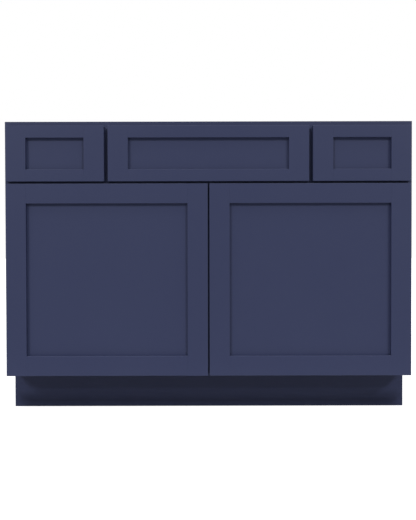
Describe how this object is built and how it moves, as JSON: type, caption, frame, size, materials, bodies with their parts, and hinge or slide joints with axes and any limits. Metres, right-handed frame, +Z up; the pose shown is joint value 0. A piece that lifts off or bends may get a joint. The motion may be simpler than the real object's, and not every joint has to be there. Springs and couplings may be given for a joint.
{
  "type": "bathroom vanity cabinet",
  "caption": "Freestanding painted bathroom vanity base with framed doors on concealed hinges, side drawers on slides, a fixed sink front and a recessed toe kick.",
  "frame": {"origin": "on the floor, under the middle of the cabinet's overall box", "axes": "+Z up, the doors face -Y, +X to the right of somebody in front of them"},
  "size_m": [1.2192, 0.555, 0.8763],
  "materials": {
    "navy_paint": "satin paint on wood",
    "birch_plywood": "clear-coated birch plywood",
    "drawer_wood": "clear-coated solid birch",
    "slide_zinc": "bright zinc plate",
    "screw_zinc": "bright zinc plate",
    "hinge_nickel": "nickel plate",
    "white_plastic": "moulded nylon",
    "grey_plastic": "moulded plastic",
    "clear_rubber": "clear soft polyurethane"
  },
  "bodies": {
    "cabinet": {"back_panel": "birch_plywood", "back_rails": "birch_plywood", "bottom_panel": "birch_plywood", "bumpers": "clear_rubber", "cabinet_screws": "screw_zinc", "corner_braces": "white_plastic", "drawer_stiles": "navy_paint", "face_bottom_rail": "navy_paint", "face_centre_stile": "navy_paint", "face_mid_rail": "navy_paint", "face_stile_left": "navy_paint", "face_stile_right": "navy_paint", "face_top_rail": "navy_paint", "false_front_brackets": "slide_zinc", "false_front_panel": "navy_paint", "false_front_rails": "navy_paint", "false_front_stiles": "navy_paint", "hinge_arms": "hinge_nickel", "side_panel_left": "navy_paint", "side_panel_right": "navy_paint", "slide_channels": "slide_zinc", "slide_rear_brackets": "white_plastic", "toe_kick_board": "birch_plywood", "toe_kick_cover": "navy_paint"},
    "hinge_links_left": {"hinge_links_left": "hinge_nickel"},
    "door_left": {"door_left_cup_screws": "screw_zinc", "door_left_hinge_cups": "hinge_nickel", "door_left_hinge_stile": "navy_paint", "door_left_lock_stile": "navy_paint", "door_left_panel": "navy_paint", "door_left_rails": "navy_paint"},
    "drawer_left": {"drawer_left_box_back": "drawer_wood", "drawer_left_box_bottom": "drawer_wood", "drawer_left_box_front": "drawer_wood", "drawer_left_box_sides": "drawer_wood", "drawer_left_front_panel": "navy_paint", "drawer_left_front_rails": "navy_paint", "drawer_left_front_screws": "screw_zinc", "drawer_left_front_stiles": "navy_paint", "drawer_left_locks": "grey_plastic", "drawer_left_runners": "slide_zinc"},
    "slide_middles_left": {"drawer_left_slide_middles": "slide_zinc"},
    "hinge_links_right": {"hinge_links_right": "hinge_nickel"},
    "door_right": {"door_right_cup_screws": "screw_zinc", "door_right_hinge_cups": "hinge_nickel", "door_right_hinge_stile": "navy_paint", "door_right_lock_stile": "navy_paint", "door_right_panel": "navy_paint", "door_right_rails": "navy_paint"},
    "drawer_right": {"drawer_right_box_back": "drawer_wood", "drawer_right_box_bottom": "drawer_wood", "drawer_right_box_front": "drawer_wood", "drawer_right_box_sides": "drawer_wood", "drawer_right_front_panel": "navy_paint", "drawer_right_front_rails": "navy_paint", "drawer_right_front_screws": "screw_zinc", "drawer_right_front_stiles": "navy_paint", "drawer_right_locks": "grey_plastic", "drawer_right_runners": "slide_zinc"},
    "slide_middles_right": {"drawer_right_slide_middles": "slide_zinc"}
  },
  "joints": [
    {"name": "door_left_hinge", "type": "hinge", "parent": "hinge_links_left", "child": "door_left", "pos_m": [-0.59166, -0.26067, 0.4], "axis": [0, 0, -1], "range_deg": [0, 135]},
    {"name": "hinge_links_left_pivot", "type": "hinge", "parent": "cabinet", "child": "hinge_links_left", "pos_m": [-0.56266, -0.25043, 0.4], "axis": [0, 0, 1], "range_deg": [0, 30]},
    {"name": "drawer_left_slide", "type": "slide", "parent": "cabinet", "child": "drawer_left", "axis": [0, -1, 0], "range_m": [0, 0.445]},
    {"name": "slide_middles_left_slide", "type": "slide", "parent": "cabinet", "child": "slide_middles_left", "axis": [0, -1, 0], "range_m": [0, 0.2225]},
    {"name": "door_right_hinge", "type": "hinge", "parent": "hinge_links_right", "child": "door_right", "pos_m": [0.59166, -0.26067, 0.4], "axis": [0, 0, 1], "range_deg": [0, 135]},
    {"name": "hinge_links_right_pivot", "type": "hinge", "parent": "cabinet", "child": "hinge_links_right", "pos_m": [0.56266, -0.25043, 0.4], "axis": [0, 0, -1], "range_deg": [0, 30]},
    {"name": "drawer_right_slide", "type": "slide", "parent": "cabinet", "child": "drawer_right", "axis": [0, -1, 0], "range_m": [0, 0.445]},
    {"name": "slide_middles_right_slide", "type": "slide", "parent": "cabinet", "child": "slide_middles_right", "axis": [0, -1, 0], "range_m": [0, 0.2225]}
  ],
  "couplings": [
    {"joint": "hinge_links_left_pivot", "follows": "door_left_hinge", "ratio": 0.22222},
    {"joint": "slide_middles_left_slide", "follows": "drawer_left_slide", "ratio": 0.5},
    {"joint": "hinge_links_right_pivot", "follows": "door_right_hinge", "ratio": 0.22222},
    {"joint": "slide_middles_right_slide", "follows": "drawer_right_slide", "ratio": 0.5}
  ]
}
